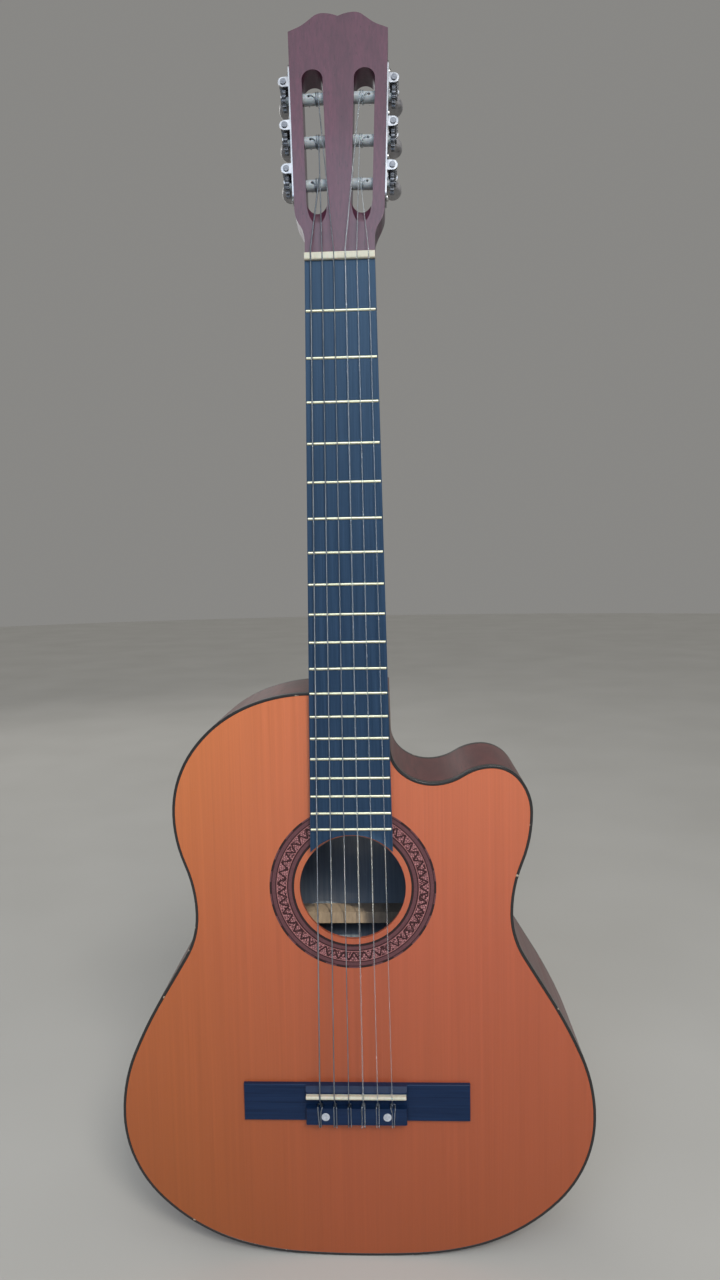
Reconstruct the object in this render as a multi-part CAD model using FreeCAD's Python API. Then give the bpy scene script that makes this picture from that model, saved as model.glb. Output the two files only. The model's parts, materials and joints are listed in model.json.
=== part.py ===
import FreeCAD, Part
import math
import os

# A nylon-string classical guitar with one cutaway, modelled upright in millimetres.
# X is across the body (bass side negative), +Y runs from the soundboard to the back,
# +Z runs up the neck. The tail of the body stands at z = 0 and x = 0 is the centre line.
# Inside this file y is measured from the soundboard's outer face; save() then moves every
# part so that the origin is the bottom centre of the whole guitar's box.

V = FreeCAD.Vector
os.makedirs("parts", exist_ok=True)

# ---------------------------------------------------------------- driving dimensions
SCALE = 650.0                 # vibrating string length, nut to saddle
BODY_LENGTH = 473.5           # tail to the 12th fret, where the neck joins
FRET_COUNT = 19
COMPENSATION = 2.6            # the saddle stands this far beyond the scale length

BACK_DEPTH = 97.5             # soundboard face to the highest point of the back's arch
DOME_RADIUS = 6000.0          # the back is a shallow dish of this radius
DOME_Z = 120.0                # height of the dish's deepest point

PLATE = 3.0                   # soundboard and back thickness
WALL = 2.4                    # rib thickness, and the width of the bindings
BINDING_DEPTH = 6.0
LINING = 6.0                  # lining thickness, inside the rib
LINING_DEPTH = 13.0

HOLE_RADIUS = 42.5
HOLE_Z = 315.7
ROSETTE_INNER = 47.0
ROSETTE_OUTER = 66.8
ROSETTE_THICKNESS = 0.8

BAR_WIDTH = 8.0               # cross bars under the soundboard
BAR_HEIGHT = 15.0
BAR_HEIGHTS_Z = (262.0, 369.0)
STRUT_WIDTH = 6.0             # five struts fanned out under the bridge
STRUT_HEIGHT = 4.5
STRUT_LOW = -85.0             # each strut's ends, from its middle
STRUT_HIGH = 120.0
STRUT_Z = 128.0
STRUTS = ((-76, 10.0), (-38, 5.0), (0, 0.0), (38, -5.0), (76, -10.0))
BACK_BAR_WIDTH = 10.0
BACK_BAR_HEIGHT = 22.0
BACK_BAR_HEIGHTS_Z = (110.0, 260.0, 395.0)
NECK_BLOCK_HALF = 38.0
NECK_BLOCK_LENGTH = 45.0
TAIL_BLOCK_HALF = 32.0
TAIL_BLOCK_LENGTH = 20.0

HEEL_FOOT = 19.0              # straight foot of the heel, up from the body
HEEL_SWEEP = 58.0             # hollow curve from the foot to the shaft
HEEL_DEPTH = 104.0            # at the body, before the cap's face is cut
HEEL_TOP_DEPTH = 90.0
HEEL_FULLNESS = 2.2
HEEL_CAP = 3.0
NECK_DEPTH = 18.5
# height, depth behind the soundboard's plane and squareness of the shaft's sections
NECK_SECTIONS = (
    (BODY_LENGTH + HEEL_FOOT + HEEL_SWEEP, NECK_DEPTH, HEEL_FULLNESS),
    (640.0, 17.2, 2.25),
    (710.0, 16.0, 2.3),
    (768.0, 15.4, 2.4),
    (783.0, 15.8, 2.8),
    (795.0, 16.6, 3.8),
    (810.0, 17.2, 5.0),
)
# how far round the hollow's quarter circle each section of the heel stands
HEEL_STEPS = (0.997, 0.985, 0.96, 0.92, 0.86, 0.78, 0.68, 0.56, 0.42, 0.26, 0.1, 0.0)

BOARD_THICKNESS = 6.5         # fretboard
BOARD_NUT_HALF = 26.25
BOARD_JOIN_HALF = 30.85
BOARD_END_RADIUS = 45.0       # its end follows the soundhole
FRET_HEIGHT = 1.0
FRET_WIDTH = 2.2
FRET_TANG = 2.0
FRET_TANG_WIDTH = 0.6
FRET_INSET = 0.8

NUT_THICKNESS = 5.5
NUT_TOP = 9.0
NUT_SLOT_FLOOR = 8.4
NUT_SPREAD = 43.0
SADDLE_TOP = 13.0
SADDLE_THICKNESS = 3.0
SADDLE_HALF = 40.4
SADDLE_SPREAD = 58.0
CONTACT = 0.03                # strings lie this clear of the saddle

BRIDGE_HALF = 92.2
BRIDGE_BLOCK_HALF = 41.0
BRIDGE_LOW_Z = 121.0
BRIDGE_HIGH_Z = 152.2
WING_HEIGHT = 3.5
BLOCK_HEIGHT = 9.0
CHANNEL_LOW_Z = 135.0
CHANNEL_HIGH_Z = 143.0
BOLT_X = 25.0
BOLT_Z = 127.9

HEAD_TILT = 10.0              # headstock leans back from the neck
HEAD_STEP = 3.0               # its face meets the nut this far in front of the soundboard plane
HEAD_THICKNESS = 20.0
HEAD_SIDE = 178.9             # length of its straight sides
HEAD_TOP_HALF = 38.4
HEAD_LOW_HALF = 33.93
HEAD_LOW = 36.0
SLOT_WIDTH = 16.0
SLOT_WALL = 9.2               # wood outside each slot
SLOT_START = 34.0
SLOT_END = 147.0

ROLLER_RADIUS = 4.25
ROLLER_DEPTH = 10.0           # roller axis below the headstock's face
ROLLER_HEIGHTS = (60.0, 95.0, 130.0)
ROLLER_BLIND = 6.0            # how far each roller enters the middle of the headstock
STRING_HOLE = 4.5             # the roller's string hole, from the outer wall of the slot
RUNNING = 0.06                # radial clearance of a turning fit

TUNER_PLATE = 1.2
TUNER_PLATE_LOW = 44.0
TUNER_PLATE_HIGH = 155.5
GEAR_TEETH = 14
GEAR_MODULE = 1.0
GEAR_WIDTH = 3.0
GEAR_ROOT = 6.0
GEAR_TIP = 7.75
WORM_OFFSET = 9.8             # worm axis above the roller axis
WORM_ROOT = 1.85
WORM_TIP = 3.5
GEAR_PLANE = 5.2              # middle of the gear, outside the headstock's side
EAR_FRONT = 1.5
EAR_BACK = 17.3
EAR_THICKNESS = 1.2
EAR_RADIUS = 4.0
JOURNAL = 1.5
FLANK = math.tan(math.radians(20.0))
TOOTH_HALF = 0.475            # half a gear tooth at the pitch circle
THREAD_HALF = 0.6             # half the worm's thread at its pitch radius
BUTTON_START = 24.0
BUTTON_LENGTH = 19.0
BUTTON_HALF_WIDTH = 7.0
BUTTON_THICKNESS = 7.5

# string number: diameter and place of its turns on the roller, from the inner slot wall
STRINGS = {
    1: (0.71, 6.2),
    2: (0.82, 5.0),
    3: (1.02, 4.6),
    4: (0.74, 4.4),
    5: (0.89, 5.0),
    6: (1.09, 6.2),
}

NUT_Z = BODY_LENGTH + SCALE / 2
SADDLE_Z = NUT_Z - SCALE - COMPENSATION
HEAD_Z = NUT_Z + NUT_THICKNESS
FACE_Y = (SADDLE_TOP + STRINGS[6][0] - BACK_DEPTH) / 2
WORM_PITCH = math.pi * GEAR_MODULE
GEAR_PITCH_RADIUS = GEAR_TEETH * GEAR_MODULE / 2
SIDE_TAPER = math.degrees(math.atan2(HEAD_TOP_HALF - HEAD_LOW_HALF, HEAD_SIDE - HEAD_LOW))
SIDE_START = HEAD_LOW_HALF - HEAD_LOW * math.tan(math.radians(SIDE_TAPER))
SLOT_MIDDLE = -SLOT_WALL - SLOT_WIDTH / 2


# ---------------------------------------------------------------- shared tools
def save(node, *shapes):
    shape = shapes[0] if len(shapes) == 1 else Part.makeCompound(list(shapes))
    shape = shape.copy()
    shape.translate(V(0, FACE_Y, 0))
    shape.exportStep("parts/" + node + ".step")


def direction(degrees):
    return V(math.cos(math.radians(degrees)), 0, math.sin(math.radians(degrees)))


def tangent_arc(start, heading, end):
    """One arc (or line) in the XZ plane that leaves start along heading and reaches end."""
    chord = end - start
    left = V(-heading.z, 0, heading.x)
    side = left.dot(chord)
    if abs(side) < 1e-6 * chord.Length:
        return Part.LineSegment(start, end).toShape()
    radius = chord.dot(chord) / (2 * side)
    centre = start + left * radius
    middle = (start - centre) + (end - centre)
    middle.normalize()
    return Part.Arc(start, centre + middle * abs(radius), end).toShape()


def two_arcs(start, heading_in, end, heading_out):
    """A smooth pair of arcs from start to end with the given directions at both ends."""
    a, b = direction(heading_in), direction(heading_out)
    chord = end - start
    bend = 2 * (a.dot(b) - 1)
    along = chord.dot(a + b)
    if abs(bend) < 1e-9:
        reach = chord.dot(chord) / (2 * along)
    else:
        root = math.sqrt(along * along - bend * chord.dot(chord))
        reach = (along - root) / bend
    joint = (start + a * reach + end - b * reach) * 0.5
    second = tangent_arc(end, b * -1, joint)
    return [tangent_arc(start, a, joint), second]


def smooth_path(stations):
    """Arcs through (x, z, heading) stations; a station may give a second, leaving heading."""
    edges = []
    for here, there in zip(stations, stations[1:]):
        start, end = V(here[0], 0, here[1]), V(there[0], 0, there[1])
        edges += two_arcs(start, here[-1], end, there[2])
    return edges


def prism(wire, low, high):
    solid = Part.Face(wire).extrude(V(0, high - low, 0))
    solid.translate(V(0, low, 0))
    return solid


def inset(wire, distance):
    return wire if distance == 0 else wire.makeOffset2D(-distance, 0)


def ring(wire, outer, inner, low, high):
    return prism(inset(wire, outer), low, high).cut(prism(inset(wire, inner), low - 1, high + 1))


def dome(below):
    """A ball whose outer surface lies the given distance inside the back's arched face."""
    return Part.makeSphere(DOME_RADIUS - below, V(0, BACK_DEPTH - DOME_RADIUS, DOME_Z))


def box(x0, x1, y0, y1, z0, z1):
    return Part.makeBox(x1 - x0, y1 - y0, z1 - z0, V(x0, y0, z0))


def rod(radius, start, end):
    axis = end - start
    return Part.makeCylinder(radius, axis.Length, start, axis)


def bent_rod(radius, points, bends):
    """A round wire through points, with the given bend radius at each inner point."""
    edges = []
    last = points[0]
    for before, corner, after, bend in zip(points, points[1:], points[2:], bends):
        back, on = (before - corner), (after - corner)
        back.normalize()
        on.normalize()
        half = back.getAngle(on) / 2
        reach = bend / math.tan(half)
        bisector = back + on
        bisector.normalize()
        near = corner + back * reach
        far = corner + on * reach
        centre = corner + bisector * (bend / math.sin(half))
        edges.append(Part.LineSegment(last, near).toShape())
        edges.append(Part.Arc(near, centre - bisector * bend, far).toShape())
        last = far
    edges.append(Part.LineSegment(last, points[-1]).toShape())
    path = Part.Wire(edges)
    section = Part.Wire(Part.makeCircle(radius, points[0], points[1] - points[0]))
    return path.makePipeShell([section], True, False)


def in_head(shape):
    """Move a shape from headstock coordinates (x, depth, height) into the guitar's frame."""
    moved = shape.copy()
    moved.Placement = FreeCAD.Placement(
        V(0, -HEAD_STEP, HEAD_Z), FreeCAD.Rotation(V(1, 0, 0), -HEAD_TILT)
    ).multiply(moved.Placement)
    return moved


def on_side(shape, side):
    """Move a shape from a side's coordinates (outwards, depth, along the edge) to the head's."""
    moved = shape.copy()
    moved.Placement = FreeCAD.Placement(
        V(SIDE_START, 0, 0), FreeCAD.Rotation(V(0, 1, 0), SIDE_TAPER)
    ).multiply(moved.Placement)
    return moved if side > 0 else moved.mirror(V(0, 0, 0), V(1, 0, 0))


# ---------------------------------------------------------------- body outline
# The same curve on both sides up to the waist, then the treble side turns in to a horn.
LOWER = [(0, 0), (92.6, 8.3), (194.0, 122.0), (157.0, 226.0), (127.6, 293.5)]
LOWER_HEADINGS = [0, 14.2, 90, 121.5, 90]
BASS_TOP = [(143.6, 376.0, 90), (83.8, 462.6, 156.3), (32.0, BODY_LENGTH, 180)]
HORN = [
    (143.4, 376.0, 90),
    (111.3, 414.0, 180),
    (65.0, 400.4, 180),
    (31.8, 430.0, 90),
    (31.0, BODY_LENGTH, 91),
]


def body_outline():
    lower = [(x, z, h) for (x, z), h in zip(LOWER, LOWER_HEADINGS)]
    treble = smooth_path(lower + HORN)
    top = Part.LineSegment(V(31.0, 0, BODY_LENGTH), V(-32.0, 0, BODY_LENGTH)).toShape()
    bass = [edge.mirror(V(0, 0, 0), V(1, 0, 0)) for edge in smooth_path(lower + BASS_TOP)]
    return Part.Wire(Part.__sortEdges__(treble + [top] + bass))


OUTLINE = body_outline()


# ---------------------------------------------------------------- sound box
def make_soundboard():
    board = prism(inset(OUTLINE, WALL), 0, PLATE)
    board = board.cut(rod(HOLE_RADIUS, V(0, -1, HOLE_Z), V(0, PLATE + 1, HOLE_Z)))
    bed = rosette_ring(-1, ROSETTE_THICKNESS)
    for x in (-BOLT_X, BOLT_X):
        board = board.cut(rod(2.1, V(x, -1, BOLT_Z), V(x, PLATE + 1, BOLT_Z)))
    save("soundboard", board.cut(bed))


def rosette_ring(low, high):
    outer = rod(ROSETTE_OUTER, V(0, low, HOLE_Z), V(0, high, HOLE_Z))
    return outer.cut(rod(ROSETTE_INNER, V(0, low - 1, HOLE_Z), V(0, high + 1, HOLE_Z)))


def make_back():
    plate = prism(inset(OUTLINE, WALL), BACK_DEPTH - 40, BACK_DEPTH + 1)
    save("back_plate", plate.common(dome(0)).cut(dome(PLATE)))


def make_ribs():
    wall = ring(OUTLINE, 0, WALL, BINDING_DEPTH, BACK_DEPTH + 1).common(dome(BINDING_DEPTH))
    reach = 300.0
    bass = box(-reach, 0, -1, BACK_DEPTH + 1, -1, BODY_LENGTH + 1)
    save("bass_rib", wall.common(bass))
    save("treble_rib", wall.cut(bass))


def make_bindings():
    front = ring(OUTLINE, 0, WALL, 0, BINDING_DEPTH)
    rear = ring(OUTLINE, 0, WALL, BACK_DEPTH - 40, BACK_DEPTH + 1)
    save("bindings", front, rear.common(dome(0)).cut(dome(BINDING_DEPTH)))


def inner_blocks():
    """The blocks that the neck and the two ribs' tail ends are glued to."""
    room = prism(inset(OUTLINE, WALL), PLATE, BACK_DEPTH).common(dome(PLATE))
    neck_block = room.common(box(-NECK_BLOCK_HALF, NECK_BLOCK_HALF, 0, BACK_DEPTH,
                                 BODY_LENGTH - NECK_BLOCK_LENGTH, BODY_LENGTH))
    tail_block = room.common(box(-TAIL_BLOCK_HALF, TAIL_BLOCK_HALF, 0, BACK_DEPTH,
                                 0, TAIL_BLOCK_LENGTH))
    return neck_block, tail_block


def make_frame():
    neck_block, tail_block = inner_blocks()
    inner = WALL + LINING
    front = ring(OUTLINE, WALL, inner, PLATE, PLATE + LINING_DEPTH)
    rear = ring(OUTLINE, WALL, inner, BACK_DEPTH - 40, BACK_DEPTH + 1)
    rear = rear.common(dome(PLATE)).cut(dome(PLATE + LINING_DEPTH))
    linings = [s.cut(neck_block).cut(tail_block) for s in (front, rear)]
    save("linings", *linings)
    save("neck_block", neck_block)
    save("tail_block", tail_block)


def make_braces():
    room = prism(inset(OUTLINE, WALL + LINING), PLATE, BACK_DEPTH).common(dome(PLATE))
    reach = 200.0
    half = BAR_WIDTH / 2
    bars = []
    for z in BAR_HEIGHTS_Z:
        bar = box(-reach, reach, PLATE, PLATE + BAR_HEIGHT, z - half, z + half)
        bars.append(bar.common(room))
    half = STRUT_WIDTH / 2
    for x, lean in STRUTS:
        strut = box(-half, half, PLATE, PLATE + STRUT_HEIGHT, STRUT_LOW, STRUT_HIGH)
        strut.Placement = FreeCAD.Placement(
            V(x, 0, STRUT_Z), FreeCAD.Rotation(V(0, 1, 0), lean))
        bars.append(strut)
    save("soundboard_braces", *bars)
    half = BACK_BAR_WIDTH / 2
    cross = []
    for z in BACK_BAR_HEIGHTS_Z:
        bar = box(-reach, reach, BACK_DEPTH - PLATE - BACK_BAR_HEIGHT, BACK_DEPTH,
                  z - half, z + half)
        cross.append(bar.common(room))
    save("back_braces", *cross)


# ---------------------------------------------------------------- neck and headstock
def half_oval(z, half, depth, fullness):
    """Closed section: flat glue face at y = 0 and a rounded back of the given depth."""
    steps = 12
    points = []
    for i in range(steps + 1):
        angle = math.pi * i / steps
        c, s = math.cos(angle), math.sin(angle)
        x = half * math.copysign(abs(c) ** (2 / fullness), c)
        points.append(V(x, depth * abs(s) ** (2 / fullness), z))
    curve = Part.BSplineCurve()
    curve.interpolate(points)
    flat = Part.LineSegment(points[-1], points[0]).toShape()
    return Part.Wire([curve.toShape(), flat])


def board_half(z):
    taper = (BOARD_JOIN_HALF - BOARD_NUT_HALF) / (NUT_Z - BODY_LENGTH)
    return BOARD_NUT_HALF + (NUT_Z - z) * taper


def head_cut():
    """Everything above the plane where the headstock is glued to the neck."""
    return in_head(box(-60, 60, -60, 60, 0, 260))


def heel_depth(z):
    """Depth of the neck's back: a straight heel foot, a hollow sweep, then the slim shaft."""
    foot = BODY_LENGTH + HEEL_FOOT
    if z <= foot:
        return HEEL_DEPTH - (HEEL_DEPTH - HEEL_TOP_DEPTH) * (z - BODY_LENGTH) / HEEL_FOOT
    t = max(0.0, 1 - (z - foot) / HEEL_SWEEP)
    hollow = HEEL_TOP_DEPTH - NECK_DEPTH
    return NECK_DEPTH + hollow * (1 - math.sqrt(1 - t * t))


def make_neck():
    shaft = [half_oval(z, board_half(z), depth, full) for z, depth, full in NECK_SECTIONS]
    slim = Part.makeLoft(shaft, True, False)
    foot = BODY_LENGTH + HEEL_FOOT
    heights = [BODY_LENGTH, BODY_LENGTH + HEEL_FOOT / 2, foot - 0.01]
    heights += [foot + HEEL_SWEEP * (1 - t) for t in HEEL_STEPS]
    heel = [half_oval(z, board_half(z), heel_depth(z), HEEL_FULLNESS) for z in heights]
    blank = slim.fuse(Part.makeLoft(heel, True, True)).removeSplitter().cut(head_cut())
    back = heel_back()
    save("neck", blank.cut(box(-60, 60, back - HEEL_CAP, 160, 0, 900)))
    save("heel_cap", blank.common(box(-60, 60, back - HEEL_CAP, back, 0, 900)))


def heel_back():
    """Depth of the body's back where the heel meets it."""
    rise = BODY_LENGTH - DOME_Z
    return BACK_DEPTH - DOME_RADIUS + math.sqrt(DOME_RADIUS ** 2 - rise ** 2)


def head_outline():
    """Right half of the headstock from the neck up to the crest's middle notch."""
    neck_half = board_half(NUT_Z)
    shoulder = 11.0
    edge = 90 - SIDE_TAPER
    start = Part.LineSegment(V(neck_half, 0, 0), V(neck_half, 0, shoulder)).toShape()
    curve = smooth_path([(neck_half, shoulder, 90), (HEAD_LOW_HALF, HEAD_LOW, edge)])
    side = Part.LineSegment(
        V(HEAD_LOW_HALF, 0, HEAD_LOW), V(HEAD_TOP_HALF, 0, HEAD_SIDE)
    ).toShape()
    crest = smooth_path([
        (HEAD_TOP_HALF, HEAD_SIDE, 156),
        (25.5, 185.4, 142),
        (12.2, 193.0, 180),
        (0.0, 190.2, 204),
    ])
    return [start] + curve + [side] + crest


def slot_cutter():
    """One string slot in side coordinates, round at both ends, with its string ramp."""
    r = SLOT_WIDTH / 2
    low, high = SLOT_START + r, SLOT_END - r
    middle = box(SLOT_MIDDLE - r, SLOT_MIDDLE + r, -20, 60, low, high)
    cutter = middle
    for a in (low, high):
        cutter = cutter.fuse(rod(r, V(SLOT_MIDDLE, -20, a), V(SLOT_MIDDLE, 60, a)))
    slope = math.radians(24.0)
    ramp_start = 23.0
    start = V(SLOT_MIDDLE, -r * math.cos(slope), ramp_start + r * math.sin(slope))
    run = V(0, math.sin(slope), math.cos(slope))
    return cutter.fuse(rod(r, start - run * 12, start + run * 26))


def make_headstock():
    half = head_outline()
    mirrored = [edge.mirror(V(0, 0, 0), V(1, 0, 0)) for edge in half]
    foot = board_half(NUT_Z)
    base = Part.LineSegment(V(-foot, 0, 0), V(foot, 0, 0)).toShape()
    head = prism(Part.Wire(Part.__sortEdges__(half + mirrored + [base])), 0, HEAD_THICKNESS)
    for side in (-1, 1):
        head = head.cut(on_side(slot_cutter(), side))
        for a in ROLLER_HEIGHTS:
            inner = SLOT_MIDDLE - SLOT_WIDTH / 2 - ROLLER_BLIND - 0.5
            bore = rod(ROLLER_RADIUS + RUNNING, V(inner, ROLLER_DEPTH, a), V(5, ROLLER_DEPTH, a))
            head = head.cut(on_side(bore, side))
        for a in screw_heights():
            pilot = rod(1.3, V(-7.5, ROLLER_DEPTH, a), V(5, ROLLER_DEPTH, a))
            head = head.cut(on_side(pilot, side))
    save("headstock", in_head(head))


def make_fretboard():
    top, low = NUT_Z, HOLE_Z
    corners = [
        V(-board_half(top), 0, top),
        V(board_half(top), 0, top),
        V(board_half(low), 0, low),
        V(-board_half(low), 0, low),
    ]
    board = prism(Part.makePolygon(corners + corners[:1]), -BOARD_THICKNESS, 0)
    hole = rod(BOARD_END_RADIUS, V(0, -20, HOLE_Z), V(0, 20, HOLE_Z))
    board = board.cut(hole)
    frets = []
    for number in range(1, FRET_COUNT + 1):
        z = NUT_Z - SCALE * (1 - 2 ** (-number / 12))
        half = board_half(z)
        slot = box(-half - 1, half + 1, -BOARD_THICKNESS - 1, FRET_TANG - BOARD_THICKNESS,
                   z - FRET_TANG_WIDTH / 2, z + FRET_TANG_WIDTH / 2)
        board = board.cut(slot)
        frets.append(make_fret(z, half - FRET_INSET))
    save("fretboard", board)
    save("frets", *frets)


def make_fret(z, half):
    """A fret: a rounded crown on the board and a thin tang down in its slot."""
    y = -BOARD_THICKNESS
    w, t = FRET_WIDTH / 2, FRET_TANG_WIDTH / 2
    crown = Part.Arc(V(0, y, z - w), V(0, y - FRET_HEIGHT, z), V(0, y, z + w)).toShape()
    under = [
        V(0, y, z + w), V(0, y, z + t), V(0, y + FRET_TANG, z + t),
        V(0, y + FRET_TANG, z - t), V(0, y, z - t), V(0, y, z - w),
    ]
    section = Part.Wire([crown] + Part.makePolygon(under).Edges)
    fret = Part.Face(section).extrude(V(2 * half, 0, 0))
    fret.translate(V(-half, 0, 0))
    return fret


# ---------------------------------------------------------------- strings
def spread(width, number):
    """Across the strings: string 6 on the bass side, string 1 on the treble side."""
    return width * (3.5 - number) / 5


def string_side(number):
    return 1 if number <= 3 else -1


def roller_height(number):
    return ROLLER_HEIGHTS[number - 1] if number <= 3 else ROLLER_HEIGHTS[6 - number]


def head_point(side, outwards, depth, along):
    """A point in side coordinates, in the guitar's frame."""
    mark = Part.Vertex(outwards, depth, along)
    return in_head(on_side(mark, side)).Point


def string_points(number):
    """Centre line of a string, from its roller over nut and saddle to its tie."""
    size, place = STRINGS[number]
    r = size / 2
    x_nut, x_saddle = spread(NUT_SPREAD, number), spread(SADDLE_SPREAD, number)
    nut_y = -NUT_SLOT_FLOOR - r
    saddle_y = -SADDLE_TOP - r - CONTACT
    side = string_side(number)
    wrap = ROLLER_RADIUS + r + 0.1
    outwards = SLOT_MIDDLE - SLOT_WIDTH / 2 + place
    rise = math.radians(8.0)
    roller = head_point(side, outwards, ROLLER_DEPTH - wrap * math.cos(rise),
                        roller_height(number) - wrap * math.sin(rise))
    behind = V(x_nut, nut_y, HEAD_Z + 1.0)
    front = V(x_nut, nut_y, NUT_Z - 1.0)
    fall = math.radians(37.0)
    over = SADDLE_THICKNESS / 2 + r + CONTACT
    crown = V(x_saddle, saddle_y, SADDLE_Z - over * math.tan(fall / 2))
    hole_front, hole_rear = -6.2, -5.4
    entry = V(x_saddle, hole_front, CHANNEL_LOW_Z + 2.2)
    rear = BRIDGE_LOW_Z - 1.9
    exit_low = V(x_saddle, hole_rear, rear)
    exit_high = V(x_saddle, -BLOCK_HEIGHT - r, rear)
    tie_front = V(x_saddle, -BLOCK_HEIGHT - r, CHANNEL_LOW_Z + 1.4)
    tail = V(x_saddle, -BLOCK_HEIGHT + 0.9, CHANNEL_LOW_Z + 1.4)
    points = [roller, behind, front, crown, entry, exit_low, exit_high, tie_front, tail]
    return points, [5.0, 5.0, over, 2.6, 1.4, 1.4, 1.0]


def make_strings():
    for number, (size, place) in STRINGS.items():
        points, bends = string_points(number)
        save("string_%d" % number, bent_rod(size / 2, points, bends))


def make_nut():
    half = board_half(NUT_Z)
    nut = box(-half, half, -NUT_TOP, 0, NUT_Z, HEAD_Z)
    long_edges = [e for e in nut.Edges if abs(e.Length - 2 * half) < 0.01
                  and e.CenterOfMass.y < -1]
    nut = nut.makeFillet(1.2, long_edges)
    for number, (size, place) in STRINGS.items():
        x, w = spread(NUT_SPREAD, number), size / 2 + 0.03
        nut = nut.cut(box(x - w, x + w, -20, -NUT_SLOT_FLOOR, NUT_Z - 1, HEAD_Z + 1))
    save("nut", nut.cut(head_cut()))


# ---------------------------------------------------------------- bridge
def make_bridge():
    depth = BRIDGE_HIGH_Z - BRIDGE_LOW_Z
    wings = box(-BRIDGE_HALF, BRIDGE_HALF, -WING_HEIGHT, 0, BRIDGE_LOW_Z, BRIDGE_HIGH_Z)
    rims = [e for e in wings.Edges if e.CenterOfMass.y < -WING_HEIGHT + 0.01]
    wings = wings.makeFillet(1.0, rims)
    block = box(-BRIDGE_BLOCK_HALF, BRIDGE_BLOCK_HALF, -BLOCK_HEIGHT, 0,
                BRIDGE_LOW_Z, BRIDGE_HIGH_Z)
    front = [e for e in block.Edges if e.CenterOfMass.y < -BLOCK_HEIGHT + 0.01
             and e.CenterOfMass.z > BRIDGE_HIGH_Z - 0.01]
    block = block.makeChamfer(3.5, front)
    ends = [e for e in block.Edges if abs(abs(e.CenterOfMass.x) - BRIDGE_BLOCK_HALF) < 0.01
            and e.CenterOfMass.y < -BLOCK_HEIGHT + 0.01]
    block = block.makeFillet(1.4, ends)
    bridge = wings.fuse(block).removeSplitter()
    over = BRIDGE_BLOCK_HALF + 5
    channel = box(-over, over, -20, -WING_HEIGHT, CHANNEL_LOW_Z, CHANNEL_HIGH_Z)
    bridge = bridge.cut(channel)
    t = SADDLE_THICKNESS / 2
    bridge = bridge.cut(box(-SADDLE_HALF, SADDLE_HALF, -20, -2.0, SADDLE_Z - t, SADDLE_Z + t))
    for number, (size, place) in STRINGS.items():
        points, bends = string_points(number)
        entry, exit_low = points[4], points[5]
        run = exit_low - entry
        run.normalize()
        bridge = bridge.cut(rod(size / 2 + 0.3, entry - run * 0.5, exit_low + run * 3))
    for x in (-BOLT_X, BOLT_X):
        bridge = bridge.cut(rod(2.1, V(x, -20, BOLT_Z), V(x, 1, BOLT_Z)))
        bridge = bridge.cut(rod(3.3, V(x, -20, BOLT_Z), V(x, -BLOCK_HEIGHT + 4.0, BOLT_Z)))
    save("bridge", bridge)


def make_saddle():
    t = SADDLE_THICKNESS / 2
    saddle = box(-SADDLE_HALF, SADDLE_HALF, -SADDLE_TOP + t, -2.0, SADDLE_Z - t, SADDLE_Z + t)
    crown = rod(t, V(-SADDLE_HALF, -SADDLE_TOP + t, SADDLE_Z), V(SADDLE_HALF, -SADDLE_TOP + t,
                                                                 SADDLE_Z))
    save("saddle", saddle.fuse(crown).removeSplitter())


def make_bridge_bolts():
    """Two machine screws down through bridge and soundboard, each with washer and nut."""
    pieces, dots = [], []
    for x in (-BOLT_X, BOLT_X):
        seat = -BLOCK_HEIGHT + 4.0
        head = rod(3.2, V(x, seat - 2.2, BOLT_Z), V(x, seat, BOLT_Z))
        bolt = head.fuse(rod(2.0, V(x, seat, BOLT_Z), V(x, PLATE + 7.0, BOLT_Z)))
        slot = box(x - 4, x + 4, seat - 3, seat - 1.4, BOLT_Z - 0.4, BOLT_Z + 0.4)
        pieces.append(bolt.cut(slot))
        hole = rod(2.0, V(x, 0, BOLT_Z), V(x, 30, BOLT_Z))
        washer = rod(6.0, V(x, PLATE, BOLT_Z), V(x, PLATE + 1.0, BOLT_Z)).cut(hole)
        pieces.append(washer)
        flats = Part.makePolygon([
            V(x + 4.0 * math.cos(math.pi * k / 3), PLATE + 1.0,
              BOLT_Z + 4.0 * math.sin(math.pi * k / 3)) for k in range(7)
        ])
        pieces.append(Part.Face(flats).extrude(V(0, 3.2, 0)).cut(hole))
        dots.append(rod(3.3, V(x, -BLOCK_HEIGHT - 0.2, BOLT_Z), V(x, seat - 2.2, BOLT_Z)))
    save("bridge_bolts", *pieces)
    save("bridge_dots", *dots)


# ---------------------------------------------------------------- tuning machines
def screw_heights():
    low, middle, high = ROLLER_HEIGHTS
    return (low - 11.5, low + 21.5, middle + 21.5, high + 20.5)


def ear(depth, a):
    """A bent tab of the plate that carries one end of a worm."""
    tab = box(0, GEAR_PLANE, depth, depth + EAR_THICKNESS, a - EAR_RADIUS, a + EAR_RADIUS)
    end = rod(EAR_RADIUS, V(GEAR_PLANE, depth, a), V(GEAR_PLANE, depth + EAR_THICKNESS, a))
    return tab.fuse(end)


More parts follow.
